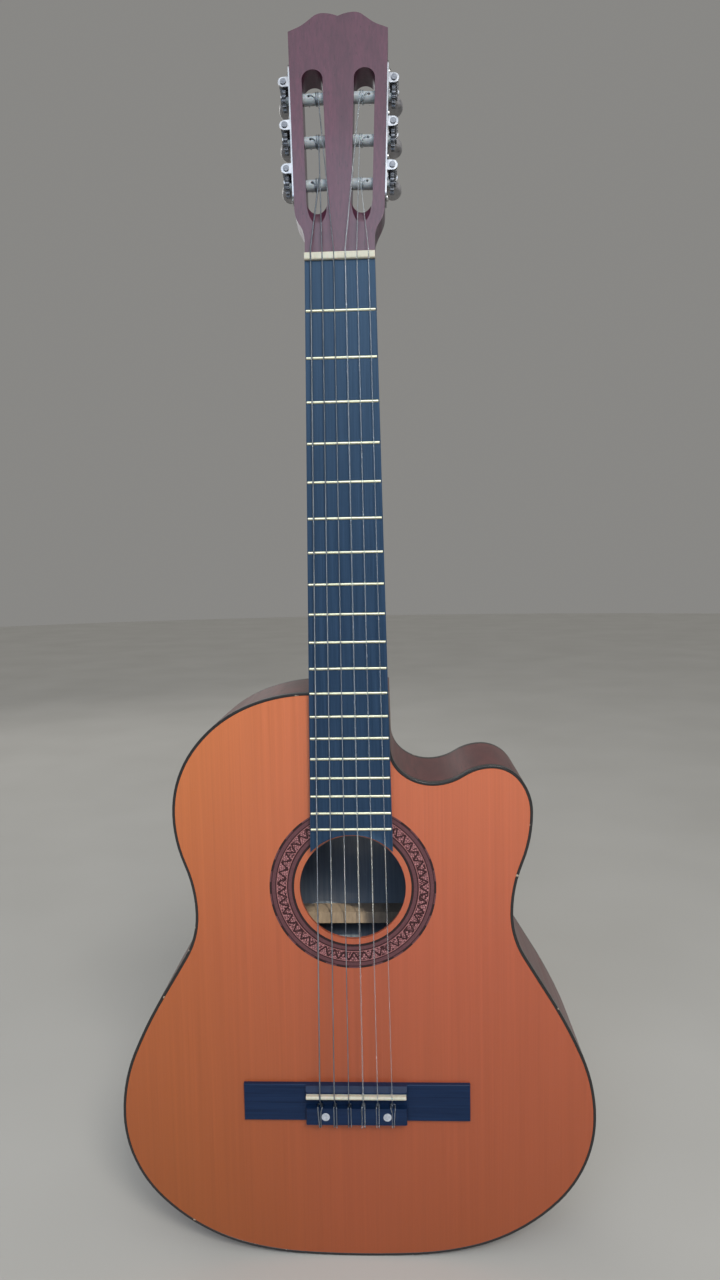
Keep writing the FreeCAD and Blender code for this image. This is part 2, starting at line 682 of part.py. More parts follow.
def make_tuner_plates():
    plate = box(0, TUNER_PLATE, 1.0, HEAD_THICKNESS - 1.0, TUNER_PLATE_LOW, TUNER_PLATE_HIGH)
    corners = [e for e in plate.Edges if abs(e.Length - TUNER_PLATE) < 0.01]
    plate = plate.makeFillet(5.0, corners)
    for a in ROLLER_HEIGHTS:
        worm = a + WORM_OFFSET
        plate = plate.fuse([ear(EAR_FRONT, worm), ear(EAR_BACK, worm)])
        bore = rod(JOURNAL + RUNNING, V(GEAR_PLANE, -5, worm), V(GEAR_PLANE, 30, worm))
        seat = rod(3.0 + RUNNING, V(-1, ROLLER_DEPTH, a), V(3, ROLLER_DEPTH, a))
        plate = plate.cut([bore, seat])
    for a in screw_heights():
        plate = plate.cut(rod(1.6, V(-1, ROLLER_DEPTH, a), V(3, ROLLER_DEPTH, a)))
    plate = plate.removeSplitter()
    save("bass_tuner_plate", in_head(on_side(plate, -1)))
    save("treble_tuner_plate", in_head(on_side(plate, 1)))


def make_plate_screws():
    screws = []
    for side in (-1, 1):
        for a in screw_heights():
            head = rod(2.6, V(TUNER_PLATE, ROLLER_DEPTH, a), V(TUNER_PLATE + 1.5, ROLLER_DEPTH, a))
            head = head.makeFillet(1.0, [head.Edges[0] if head.Edges[0].CenterOfMass.x >
                                         TUNER_PLATE + 1.4 else head.Edges[2]])
            shank = rod(1.3, V(-7.5, ROLLER_DEPTH, a), V(TUNER_PLATE, ROLLER_DEPTH, a))
            slot = box(TUNER_PLATE + 0.8, TUNER_PLATE + 3, ROLLER_DEPTH - 4, ROLLER_DEPTH + 4,
                       a - 0.35, a + 0.35)
            screws.append(in_head(on_side(head.fuse(shank).cut(slot), side)))
    save("plate_screws", *screws)


def make_roller(a):
    """Plastic barrel, journal through the plate and the boss that carries the gear."""
    inner = SLOT_MIDDLE - SLOT_WIDTH / 2 - ROLLER_BLIND
    d = ROLLER_DEPTH
    barrel = rod(ROLLER_RADIUS, V(inner, d, a), V(-0.1, d, a))
    journal = rod(3.0, V(-0.1, d, a), V(GEAR_PLANE - GEAR_WIDTH / 2, d, a))
    boss = rod(2.0, V(GEAR_PLANE - GEAR_WIDTH / 2, d, a), V(GEAR_PLANE + GEAR_WIDTH / 2, d, a))
    bore = rod(0.8, V(GEAR_PLANE - 6, d, a), V(GEAR_PLANE + 9, d, a))
    hole_x = SLOT_MIDDLE + SLOT_WIDTH / 2 - STRING_HOLE
    string_hole = rod(1.0, V(hole_x, d - 9, a), V(hole_x, d + 9, a))
    return barrel.fuse([journal, boss]).removeSplitter().cut(string_hole).cut(bore)


def make_gear(a):
    """The wheel on the roller's end, one tooth pointing at the worm, and its screw."""
    root_half = (TOOTH_HALF + (GEAR_PITCH_RADIUS - GEAR_ROOT) * FLANK) / GEAR_ROOT
    tip_half = (TOOTH_HALF - (GEAR_TIP - GEAR_PITCH_RADIUS) * FLANK) / GEAR_TIP
    corners = [(GEAR_ROOT, -root_half), (GEAR_TIP, -tip_half),
               (GEAR_TIP, tip_half), (GEAR_ROOT, root_half)]
    points = []
    for k in range(GEAR_TEETH):
        middle = math.pi / 2 + 2 * math.pi * k / GEAR_TEETH
        for radius, turn in corners:
            angle = middle + turn
            points.append(V(0, radius * math.cos(angle), radius * math.sin(angle)))
    wheel = Part.Face(Part.makePolygon(points + points[:1])).extrude(V(GEAR_WIDTH, 0, 0))
    wheel.translate(V(GEAR_PLANE - GEAR_WIDTH / 2, ROLLER_DEPTH, a))
    d, face = ROLLER_DEPTH, GEAR_PLANE + GEAR_WIDTH / 2
    wheel = wheel.cut(rod(2.0, V(0, d, a), V(20, d, a)))
    head = rod(2.5, V(face, d, a), V(face + 1.4, d, a))
    screw = head.fuse(rod(0.8, V(GEAR_PLANE - 6, d, a), V(face, d, a)))
    slot = box(face + 0.7, face + 3, d - 4, d + 4, a - 0.35, a + 0.35)
    return [wheel, screw.cut(slot)]


def worm_blank():
    """Worm and shaft about the Z axis: right-hand thread, journals, rivet and button seat."""
    root, tip = WORM_ROOT, WORM_TIP
    pitch_radius = WORM_OFFSET - GEAR_PITCH_RADIUS
    start = ROLLER_DEPTH + WORM_PITCH / 4 - 2 * WORM_PITCH
    turns = 3.5
    helix = Part.makeHelix(WORM_PITCH, turns * WORM_PITCH, pitch_radius)
    helix.translate(V(0, 0, start))
    sunk = root - 0.3
    wide = THREAD_HALF + (pitch_radius - sunk) * FLANK
    narrow = THREAD_HALF - (tip - pitch_radius) * FLANK
    tooth = Part.makePolygon([
        V(sunk, 0, start - wide), V(tip, 0, start - narrow), V(tip, 0, start + narrow),
        V(sunk, 0, start + wide), V(sunk, 0, start - wide),
    ])
    thread = Part.Wire(helix).makePipeShell([tooth], True, True)
    front, back = EAR_FRONT + EAR_THICKNESS + 0.1, EAR_BACK - 0.1
    core = rod(root, V(0, 0, front), V(0, 0, back))
    journal = rod(JOURNAL, V(0, 0, EAR_FRONT - 0.1), V(0, 0, BUTTON_START + 12))
    rivet = rod(2.3, V(0, 0, 0.6), V(0, 0, EAR_FRONT - 0.1))
    collar = rod(2.6, V(0, 0, EAR_BACK + EAR_THICKNESS + 0.1), V(0, 0, BUTTON_START))
    return core.fuse([thread, journal, rivet, collar])


def make_worm(a):
    worm = worm_blank()
    worm.Placement = FreeCAD.Placement(
        V(GEAR_PLANE, 0, a + WORM_OFFSET), FreeCAD.Rotation(V(1, 0, 0), -90)
    )
    return worm


def make_button(a):
    """A flat oval grip with rounded edges, pressed on the shaft's end."""
    centre = V(GEAR_PLANE, BUTTON_START + BUTTON_LENGTH / 2, a + WORM_OFFSET)
    oval = Part.Ellipse(V(0, 0, 0), BUTTON_LENGTH / 2, BUTTON_HALF_WIDTH)
    face = Part.Face(Part.Wire(oval.toShape()))
    grip = face.extrude(V(0, 0, BUTTON_THICKNESS))
    rims = [e for e in grip.Edges if isinstance(e.Curve, Part.Ellipse)]
    grip = grip.makeFillet(2.6, rims)
    grip.translate(V(0, 0, -BUTTON_THICKNESS / 2))
    grip.Placement = FreeCAD.Placement(centre, FreeCAD.Rotation(V(0, 0, 1), 90)).multiply(
        grip.Placement)
    shaft = rod(JOURNAL, V(GEAR_PLANE, 0, a + WORM_OFFSET),
                V(GEAR_PLANE, BUTTON_START + 12, a + WORM_OFFSET))
    flat = box(-20, 20, 0, BUTTON_START, a - 20, a + 40)
    return grip.cut(flat).cut(shaft)


def make_winding(a, size, place):
    """The string's turns on its roller, as one sleeve beside the incoming string."""
    turns = 3
    start = SLOT_MIDDLE - SLOT_WIDTH / 2 + place + size / 2 + 0.15
    end = start + turns * size
    sleeve = rod(ROLLER_RADIUS + size, V(start, ROLLER_DEPTH, a), V(end, ROLLER_DEPTH, a))
    return sleeve.cut(rod(ROLLER_RADIUS, V(start - 1, ROLLER_DEPTH, a),
                          V(end + 1, ROLLER_DEPTH, a)))


def make_tuners():
    for number, (size, place) in STRINGS.items():
        side, a = string_side(number), roller_height(number)

        def fit(shape):
            return in_head(on_side(shape, side))

        save("roller_%d" % number, fit(make_roller(a)))
        save("gear_%d" % number, *[fit(piece) for piece in make_gear(a)])
        save("worm_%d" % number, fit(make_worm(a)))
        save("button_%d" % number, fit(make_button(a)))
        save("winding_%d" % number, fit(make_winding(a, size, place)))


make_soundboard()
save("rosette", rosette_ring(0, ROSETTE_THICKNESS))
make_back()
make_ribs()
make_bindings()
make_frame()
make_braces()
make_neck()
make_headstock()
make_fretboard()
make_nut()
make_bridge()
make_saddle()
make_bridge_bolts()
make_strings()
make_tuner_plates()
make_plate_screws()
make_tuners()
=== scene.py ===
import json
import math

import bmesh
import bpy
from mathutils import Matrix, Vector

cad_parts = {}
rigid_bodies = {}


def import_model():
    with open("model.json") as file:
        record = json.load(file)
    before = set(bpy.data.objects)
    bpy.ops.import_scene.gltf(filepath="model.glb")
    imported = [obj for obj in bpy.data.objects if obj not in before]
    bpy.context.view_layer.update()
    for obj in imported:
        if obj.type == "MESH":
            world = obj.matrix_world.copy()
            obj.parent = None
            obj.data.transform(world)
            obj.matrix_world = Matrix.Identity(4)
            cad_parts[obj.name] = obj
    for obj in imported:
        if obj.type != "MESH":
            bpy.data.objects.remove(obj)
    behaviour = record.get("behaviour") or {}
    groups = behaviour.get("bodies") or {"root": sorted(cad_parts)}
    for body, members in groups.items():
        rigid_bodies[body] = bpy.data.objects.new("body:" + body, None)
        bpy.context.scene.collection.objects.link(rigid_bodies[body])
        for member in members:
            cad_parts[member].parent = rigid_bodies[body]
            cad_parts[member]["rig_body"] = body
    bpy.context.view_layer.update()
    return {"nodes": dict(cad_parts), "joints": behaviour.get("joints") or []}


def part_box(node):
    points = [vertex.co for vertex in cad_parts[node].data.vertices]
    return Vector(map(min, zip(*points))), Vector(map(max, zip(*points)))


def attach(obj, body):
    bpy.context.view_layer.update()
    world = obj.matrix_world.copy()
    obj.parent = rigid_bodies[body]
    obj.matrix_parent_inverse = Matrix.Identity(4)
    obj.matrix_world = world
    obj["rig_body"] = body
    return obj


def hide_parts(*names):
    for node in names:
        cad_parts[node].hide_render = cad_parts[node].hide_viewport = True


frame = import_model()
MM = 0.001


# ------------------------------------------------------------------ camera
# Stands a little above the middle of the guitar and close in front of it. It looks slightly
# down, and is rolled by about one degree.
def added(name, data):
    """A new object in the scene."""
    made = bpy.data.objects.new(name, data)
    bpy.context.scene.collection.objects.link(made)
    return made


camera = added("camera", bpy.data.cameras.new("camera"))
camera.location = (0.0366, -0.7004, 0.5723)
camera.rotation_euler = (math.radians(84.973), math.radians(1.061), math.radians(2.258))
camera.data.lens = 23.906
camera.data.clip_start = 0.01
bpy.context.scene.camera = camera
bpy.context.scene.view_settings.view_transform = "Standard"


# ------------------------------------------------------------------ floor
# A round sheet of plain pale paper, laid flat just under the guitar, with a faint mottle so
# that it doesn't look painted on.
def node(finish, kind, feeds=(), **settings):
    """One node of a finish: feeds are (socket, value or output), settings its own options."""
    made = finish.node_tree.nodes.new("ShaderNode" + kind)
    for name, value in settings.items():
        setattr(made, name, value)
    for socket, value in feeds:
        if isinstance(value, bpy.types.NodeSocket):
            finish.node_tree.links.new(value, made.inputs[socket])
        else:
            made.inputs[socket].default_value = value
    return made.outputs[0]


def new_finish(name, **sockets):
    """A finish whose constant sockets are set straight on its shader."""
    made = bpy.data.materials.new(name)
    made.use_nodes = True
    shader = made.node_tree.nodes["Principled BSDF"]
    for socket, value in sockets.items():
        shader.inputs[socket.replace("_", " ")].default_value = value
    return made


def wire(finish, socket, output):
    """Leads a node's output into a finish's shader."""
    shader = finish.node_tree.nodes["Principled BSDF"]
    finish.node_tree.links.new(output, shader.inputs[socket])


def object_place(finish, scale=(1, 1, 1), location=(0, 0, 0)):
    """The point on the piece, in metres, scaled and moved for a pattern."""
    place = finish.node_tree.nodes.new("ShaderNodeTexCoord").outputs["Object"]
    return node(finish, "Mapping", [("Vector", place), ("Scale", scale), ("Location", location)])


def ramp(finish, factor, *stops, interpolation="LINEAR"):
    """Colours or plain values along a factor, as (position, colour or value) pairs."""
    made = finish.node_tree.nodes.new("ShaderNodeValToRGB")
    band = made.color_ramp
    band.interpolation = interpolation
    while len(band.elements) < len(stops):
        band.elements.new(0.5)
    for element, (position, colour) in zip(band.elements, stops):
        element.position = position
        if isinstance(colour, (int, float)):
            colour = (colour, colour, colour)
        element.color = (*colour, 1)
    finish.node_tree.links.new(factor, made.inputs["Fac"])
    return made.outputs["Color"]


FLOOR_RADIUS = 9.0
FLOOR_DROP = 0.5 * MM
shape = bmesh.new()
bmesh.ops.create_circle(shape, cap_ends=True, radius=FLOOR_RADIUS, segments=96)
floor_mesh = bpy.data.meshes.new("floor")
shape.to_mesh(floor_mesh)
shape.free()
floor = added("floor", floor_mesh)
floor.location.z = -FLOOR_DROP
floor_finish = new_finish("floor_paper", Roughness=0.85)
floor_tone = node(floor_finish, "TexNoise", [("Vector", object_place(floor_finish)), ("Scale", 3.0)])
wire(floor_finish, "Base Color",
     ramp(floor_finish, floor_tone, (0.3, (0.50, 0.49, 0.46)), (0.7, (0.54, 0.53, 0.50))))
floor_mesh.materials.append(floor_finish)


# ------------------------------------------------------------------ studio light
# Three soft boxes: a warm one high in front, a broad cool one behind the camera and a faint
# one at the back. A narrow warm lamp shines through the sound hole onto the inside of the back.
def aim(lamp, place, target):
    """Puts a lamp at place and turns it to face target."""
    lamp.location = place
    lamp.rotation_euler = (Vector(target) - Vector(place)).to_track_quat("-Z", "Y").to_euler()


def soft_box(name, place, target, width, height, power, colour):
    """An oblong area light."""
    light = bpy.data.lights.new(name, "AREA")
    light.shape = "RECTANGLE"
    light.size = width
    light.size_y = height
    light.energy = power
    light.color = colour
    aim(added(name, light), place, target)


soft_box("key_box", place=(0.55, -1.55, 1.60), target=(0.0, 0.0, 0.45), width=0.5, height=0.5,
         power=19, colour=(1.0, 0.95, 0.88))
soft_box("window_box", place=(-0.3, -2.6, 1.9), target=(0.0, 0.0, 0.6), width=2.6, height=2.4,
         power=34, colour=(0.62, 0.78, 1.0))
soft_box("back_box", place=(-1.3, 2.2, 1.7), target=(0.0, 0.0, 0.4), width=1.6, height=1.4,
         power=9, colour=(1.0, 0.98, 0.95))
beam = bpy.data.lights.new("hole_lamp", "SPOT")
beam.energy = 170
beam.color = (1.0, 0.84, 0.60)
beam.spot_size = math.radians(2.1)
beam.spot_blend = 0.12
beam.shadow_soft_size = 0.004
aim(added("hole_lamp", beam), place=(0.36, -1.08, 1.33), target=(0.002, -0.042, 0.319))
sun = bpy.data.lights.new("even_light", "SUN")
sun.energy = 0.66
sun.angle = math.radians(60)
added("even_light", sun).rotation_euler = (math.radians(38), math.radians(8), 0)
world = bpy.data.worlds.new("studio")
world.use_nodes = True
surroundings = world.node_tree.nodes["Background"]
surroundings.inputs["Color"].default_value = (0.62, 0.61, 0.585, 1)
surroundings.inputs["Strength"].default_value = 0.40
bpy.context.scene.world = world


# ------------------------------------------------------------------ soundboard
# A thin softwood plate with straight upright grain, glued to the ribs and their linings, stained
# orange under gloss lacquer. Its colour grows darker low down, partly stain and partly painted
# shade where less light falls, and turns golden towards the bass side as a painted highlight.
def dress(finish, *names):
    """Gives CAD nodes their finish."""
    for name in names:
        frame["nodes"][name].data.materials.clear()
        frame["nodes"][name].data.materials.append(finish)


def grain(finish, scale, detail=6.0, location=(0, 0, 0)):
    """Streaks of wood grain; scale says how many fit in a metre along each axis."""
    return node(finish, "TexNoise",
                [("Vector", object_place(finish, scale, location)), ("Scale", 1.0),
                 ("Detail", detail), ("Roughness", 0.62)])


def figure(finish, operation, *values):
    """A sum on numbers or outputs."""
    return node(finish, "Math", list(enumerate(values)), operation=operation)


def mixed(finish, first, second, share, blend="MIX"):
    """Two colours mixed, by a share or a factor output."""
    return node(finish, "MixRGB", [("Fac", share), ("Color1", first), ("Color2", second)],
                blend_type=blend)


def times(finish, first, second):
    """Two colours multiplied."""
    return mixed(finish, first, second, 1.0, "MULTIPLY")


def axes(finish, vector):
    """The outputs X, Y and Z of a vector output."""
    return node(finish, "SeparateXYZ", [("Vector", vector)]).node.outputs


def relief(finish, height, depth):
    """Raises the surface by a height pattern, depth in metres."""
    wire(finish, "Normal", node(finish, "Bump", [("Distance", depth), ("Height", height)]))


# Colours from low to high: partly orange stain, partly painted shade low down and painted light high
# up.
STAIN_AND_SHADING_LOW = (0.325, 0.066, 0.014)
STAIN_AND_SHADING_MIDDLE = (0.480, 0.104, 0.044)
STAIN_AND_SHADING_HIGH = (0.640, 0.165, 0.070)
# A golden tint towards the bass side: a painted highlight.
PAINTED_HIGHLIGHT_GOLD = (1.02, 1.16, 0.74, 1)
STAIN_AND_SHADING_PER_METRE = 1.9
STAIN_PATCHES = 0.25
PAINTED_HIGHLIGHT_PATCHES = 0.10
PAINTED_HIGHLIGHT_FROM = 0.045
PAINTED_HIGHLIGHT_TO = -0.11
soundboard_finish = new_finish("orange_lacquer", Coat_Weight=0.45, Coat_Roughness=0.09)
patches = node(soundboard_finish, "TexNoise",
               [("Vector", object_place(soundboard_finish, (5, 5, 2.2))), ("Scale", 1.0),
                ("Detail", 2.0)])
spot = axes(soundboard_finish, object_place(soundboard_finish))
stain_and_shading_height = figure(soundboard_finish, "MULTIPLY", spot["Z"], STAIN_AND_SHADING_PER_METRE)
stain_and_shading_height = figure(soundboard_finish, "MULTIPLY_ADD", patches, STAIN_PATCHES, stain_and_shading_height)
stain_and_painted_light = ramp(soundboard_finish, stain_and_shading_height, (0.12, STAIN_AND_SHADING_LOW), (0.62, STAIN_AND_SHADING_MIDDLE), (1.0, STAIN_AND_SHADING_HIGH))
painted_highlight_side = figure(soundboard_finish, "MULTIPLY_ADD", patches, PAINTED_HIGHLIGHT_PATCHES, spot["X"])
painted_highlight_side = node(soundboard_finish, "MapRange",
                 [("Value", painted_highlight_side), ("From Min", PAINTED_HIGHLIGHT_FROM), ("From Max", PAINTED_HIGHLIGHT_TO)])
painted_highlight = times(soundboard_finish, stain_and_painted_light, PAINTED_HIGHLIGHT_GOLD)
stain_and_painted_light = mixed(soundboard_finish, stain_and_painted_light, painted_highlight, painted_highlight_side)
fine = grain(soundboard_finish, (950, 950, 7))
broad = grain(soundboard_finish, (170, 170, 2.5), detail=3.0)
streaks = times(soundboard_finish, ramp(soundboard_finish, fine, (0.3, 0.91), (0.7, 1.0)),
                ramp(soundboard_finish, broad, (0.3, 0.92), (0.65, 1.0)))
wire(soundboard_finish, "Base Color", times(soundboard_finish, stain_and_painted_light, streaks))
wire(soundboard_finish, "Roughness", ramp(soundboard_finish, broad, (0.3, 0.30), (0.7, 0.42)))
relief(soundboard_finish, fine, depth=0.00006)
dress(soundboard_finish, "soundboard")

# ------------------------------------------------------------------ rosette
# An inlaid ring of coloured wood mosaic round the sound hole, flush with the soundboard. A
# rose band crossed by a dark red zigzag lies between two grey-mauve ones, in a dashed black
# rim. Places across the ring go from 0 at its inner edge to 1 at its outer edge.
ROSETTE_BLACK = (0.018, 0.008, 0.010)
ROSETTE_MAUVE = (0.130, 0.048, 0.056)
ROSETTE_ROSE = (0.470, 0.200, 0.205)
ROSETTE_RED = (0.036, 0.005, 0.008)
ROSETTE_LINE = (0.360, 0.145, 0.145)
ROSETTE_WIDTH = 19.8 * MM
ZIGZAGS = 44
ZIGZAG_PLACES = (0.31, 0.69)
ZIGZAG_REACH = (0.04, 0.96)
ZIGZAG_THICKNESS = (0.13, 0.22)
CURLS_PER_METRE = 640.0
CURL_THICKNESS = (0.07, 0.16)
MOSAIC_PLACES = (0.32, 0.69)
DASHES_FROM = 0.935
DASH_SHARE = 0.26
RING_BANDS = (
    (0.0, ROSETTE_BLACK), (0.075, ROSETTE_RED), (0.100, ROSETTE_MAUVE), (0.235, ROSETTE_RED),
    (0.290, ROSETTE_LINE), (0.320, ROSETTE_RED), (0.690, ROSETTE_LINE), (0.715, ROSETTE_RED),
    (0.765, ROSETTE_MAUVE), (0.900, ROSETTE_RED), (0.930, ROSETTE_BLACK),
)
rosette_low, rosette_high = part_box("rosette")
rosette_centre = (rosette_low + rosette_high) / 2
rosette_outer = (rosette_high.x - rosette_low.x) / 2
rosette_finish = new_finish("rosette_mosaic", Coat_Weight=0.25, Coat_Roughness=0.1, Roughness=0.4,
                            Specular_IOR_Level=0.3)
spot = axes(rosette_finish, object_place(rosette_finish,
                                         location=(-rosette_centre.x, 0, -rosette_centre.z)))
flat_spot = node(rosette_finish, "CombineXYZ", [("X", spot["X"]), ("Z", spot["Z"])])
radius = node(rosette_finish, "VectorMath", [(0, flat_spot)], operation="LENGTH").node
across = node(rosette_finish, "MapRange",
              [("Value", radius.outputs["Value"]), ("From Min", rosette_outer - ROSETTE_WIDTH),
               ("From Max", rosette_outer)])
angle = figure(rosette_finish, "ARCTAN2", spot["Z"], spot["X"])
repeats = figure(rosette_finish, "MULTIPLY", angle, ZIGZAGS / (2 * math.pi))
wave = figure(rosette_finish, "PINGPONG", repeats, 0.5)
wave = node(rosette_finish, "MapRange",
            [("Value", wave), ("From Max", 0.5), ("To Min", ZIGZAG_REACH[0]),
             ("To Max", ZIGZAG_REACH[1])])
zigzag = node(rosette_finish, "MapRange",
              [("Value", across), ("From Min", ZIGZAG_PLACES[0]), ("From Max", ZIGZAG_PLACES[1])])
zigzag = figure(rosette_finish, "SUBTRACT", zigzag, wave)
zigzag = figure(rosette_finish, "ABSOLUTE", zigzag)
zigzag = ramp(rosette_finish, zigzag, (ZIGZAG_THICKNESS[0], 0.0), (ZIGZAG_THICKNESS[1], 1.0))
curls = node(rosette_finish, "TexVoronoi",
             [("Vector", flat_spot), ("Scale", CURLS_PER_METRE), ("Randomness", 0.6)],
             feature="DISTANCE_TO_EDGE")
curls = ramp(rosette_finish, curls, (CURL_THICKNESS[0], 0.0), (CURL_THICKNESS[1], 1.0))
mosaic = mixed(rosette_finish, (*ROSETTE_RED, 1), (*ROSETTE_ROSE, 1), curls)
mosaic = mixed(rosette_finish, (*ROSETTE_RED, 1), mosaic, zigzag)
dashes = figure(rosette_finish, "MULTIPLY", repeats, 0.5)
dashes = figure(rosette_finish, "PINGPONG", dashes, 0.5)
dashes = ramp(rosette_finish, dashes, (0.0, ROSETTE_BLACK), (DASH_SHARE, ROSETTE_MAUVE),
              interpolation="CONSTANT")
in_mosaic = ramp(rosette_finish, across, (0.0, 0.0), (MOSAIC_PLACES[0], 1.0),
                 (MOSAIC_PLACES[1], 0.0), interpolation="CONSTANT")
in_dashes = ramp(rosette_finish, across, (0.0, 0.0), (DASHES_FROM, 1.0),
                 interpolation="CONSTANT")
ring_colour = ramp(rosette_finish, across, *RING_BANDS, interpolation="CONSTANT")
ring_colour = mixed(rosette_finish, ring_colour, mosaic, in_mosaic)
ring_colour = mixed(rosette_finish, ring_colour, dashes, in_dashes)
ring_grain = grain(rosette_finish, (900, 900, 900), detail=3.0)
ring_grain = ramp(rosette_finish, ring_grain, (0.35, 0.82), (0.65, 1.06))
wire(rosette_finish, "Base Color", times(rosette_finish, ring_colour, ring_grain))
relief(rosette_finish, across, depth=0.00002)
dress(rosette_finish, "rosette")


# ------------------------------------------------------------------ ribs and back
# Bent sides and an arched back of red-brown mahogany-like plywood under gloss lacquer, with
# short dark pores along the grain, which lies level on the ribs and upright on the back. The
# inner face of the back is left bare, and coloured grey-blue as painted shade.
PATCHES_PER_STREAK = 0.13
PORES_PER_STREAK = 1.6
PATCH_SHIFT = (0.7, 0.2, 0.4)
PORE_SHIFT = (3.1, 1.7, 2.3)


def porous_wood(name, dark, light, along, roughness, coat, **sockets):
    """Red-brown pored wood; along is how many streaks fit in a metre on each axis."""
    made = new_finish(name, Coat_Weight=coat, Coat_Roughness=0.12, **sockets)
    streak = grain(made, along)
    slow = [value * PATCHES_PER_STREAK for value in along]
    slow = grain(made, slow, detail=3.0, location=PATCH_SHIFT)
    pores = [value * PORES_PER_STREAK for value in along]
    pores = grain(made, pores, detail=2.0, location=PORE_SHIFT)
    tone = ramp(made, streak, (0.28, dark), (0.72, light))
    tone = times(made, tone, ramp(made, slow, (0.3, 0.74), (0.7, 1.12)))
    tone = times(made, tone, ramp(made, pores, (0.28, 0.45), (0.36, 1.0)))
    wire(made, "Base Color", tone)
    wire(made, "Roughness", ramp(made, slow, (0.3, roughness), (0.7, roughness + 0.12)))
    relief(made, pores, depth=0.00008)
    return made


# Grey-blue colours of the inner face: painted shade inside the box on bare wood.
BARE_SHADE_DARK = (0.085, 0.120, 0.175)
BARE_SHADE_LIGHT = (0.14, 0.175, 0.225)
FACING_FRONT = -0.5
rib_finish = porous_wood("rib_mahogany_lacquer", dark=(0.090, 0.022, 0.024),
                         light=(0.165, 0.046, 0.044), along=(22, 22, 520), roughness=0.38,
                         coat=0.22)
dress(rib_finish, "bass_rib", "treble_rib")
back_finish = porous_wood("back_mahogany_lacquer", dark=(0.095, 0.024, 0.020),
                          light=(0.175, 0.050, 0.038), along=(620, 620, 12), roughness=0.34,
                          coat=0.4)
facing = node(back_finish, "NewGeometry").node.outputs["Normal"]
inner_face = figure(back_finish, "LESS_THAN", axes(back_finish, facing)["Y"], FACING_FRONT)
painted_shade_back = grain(back_finish, (420, 420, 9), detail=3.0)
painted_shade_back = ramp(back_finish, painted_shade_back, (0.3, BARE_SHADE_DARK), (0.7, BARE_SHADE_LIGHT))
back_shader = back_finish.node_tree.nodes["Principled BSDF"]
lacquered = back_shader.inputs["Base Color"].links[0].from_socket
wire(back_finish, "Base Color", mixed(back_finish, lacquered, painted_shade_back, inner_face))
dress(back_finish, "back_plate")


# ------------------------------------------------------------------ bindings and heel cap
# Black plastic strips let into the body's corners, front and back, and a matching cap on the
# heel. The corners are rounded over, and small pale nicks show where they have been knocked.
def softened(node_name, piece_name, finish, width, sharp=38.0, segments=2, shaves=()):
    """A copy of a CAD node that stands for it, with edges sharper than sharp degrees rounded
    over. Shaves are planes, as (point, outward normal), that first cut corners off it."""
    shape = bmesh.new()
    shape.from_mesh(frame["nodes"][node_name].data)
    bmesh.ops.remove_doubles(shape, verts=shape.verts, dist=0.000002)
    bmesh.ops.dissolve_limit(shape, angle_limit=math.radians(0.4), verts=shape.verts,
                             edges=shape.edges, use_dissolve_boundaries=False)
    for point, normal in shaves:
        parts = shape.verts[:] + shape.edges[:] + shape.faces[:]
        cut = bmesh.ops.bisect_plane(shape, geom=parts, plane_co=point, plane_no=normal,
                                     clear_outer=True)
        rim = [part for part in cut["geom_cut"] if isinstance(part, bmesh.types.BMEdge)]
        bmesh.ops.holes_fill(shape, edges=rim, sides=0)
    for face in shape.faces:
        face.smooth = True
    mesh = bpy.data.meshes.new(piece_name)
    shape.to_mesh(mesh)
    shape.free()
    mesh.materials.append(finish)
    made = added(piece_name, mesh)
    rounding = made.modifiers.new("rounding", "BEVEL")
    rounding.width = width
    rounding.segments = segments
    rounding.limit_method = "ANGLE"
    rounding.angle_limit = math.radians(sharp)
    rounding.use_clamp_overlap = True
    shading = made.modifiers.new("shading", "WEIGHTED_NORMAL")
    shading.weight = 80
    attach(made, frame["nodes"][node_name]["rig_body"])
    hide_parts(node_name)


NICK_COLOUR = (0.42, 0.34, 0.26)
PLASTIC_BLACK = (0.012, 0.011, 0.012)
NICKS_PER_METRE = 95.0
NICK_REACH = -0.24
binding_finish = new_finish("black_binding_plastic", Coat_Weight=0.3, Coat_Roughness=0.15)
nick_spots = node(binding_finish, "TexVoronoi",
                  [("Vector", object_place(binding_finish)), ("Scale", NICKS_PER_METRE)])
nick_field = grain(binding_finish, (420, 420, 420), detail=5.0)
nicks = figure(binding_finish, "MULTIPLY_ADD", nick_field, NICK_REACH, nick_spots)
wire(binding_finish, "Base Color",
     ramp(binding_finish, nicks, (0.0, NICK_COLOUR), (0.004, PLASTIC_BLACK)))
wire(binding_finish, "Roughness", ramp(binding_finish, nick_field, (0.3, 0.24), (0.7, 0.42)))
relief(binding_finish, nick_field, depth=0.00005)
softened("bindings", "binding_strips", binding_finish, width=0.0006)
softened("heel_cap", "heel_cap_plate", binding_finish, width=0.0005)


# ------------------------------------------------------------------ inside of the sound box
# Linings, end blocks and braces of softwood, sawn, glued in and left bare, with a soft sawn
# grain. They are grey with age and dust.
def toned(finish, pattern, dark, light, roughness, span=(0.3, 0.7), roughness_span=(0.3, 0.7)):
    """Leads a pattern into a finish's colour, from dark to light, and into its roughness."""
    wire(finish, "Base Color", ramp(finish, pattern, *zip(span, (dark, light))))
    wire(finish, "Roughness", ramp(finish, pattern, *zip(roughness_span, roughness)))


raw_finish = new_finish("bare_softwood", Specular_IOR_Level=0.25)
raw_streaks = grain(raw_finish, (260, 60, 60))
toned(raw_finish, raw_streaks, dark=(0.11, 0.095, 0.080), light=(0.22, 0.185, 0.150),
      roughness=(0.62, 0.82), span=(0.25, 0.75))
relief(raw_finish, raw_streaks, depth=0.00012)
dress(raw_finish, "linings", "neck_block", "tail_block", "soundboard_braces", "back_braces")
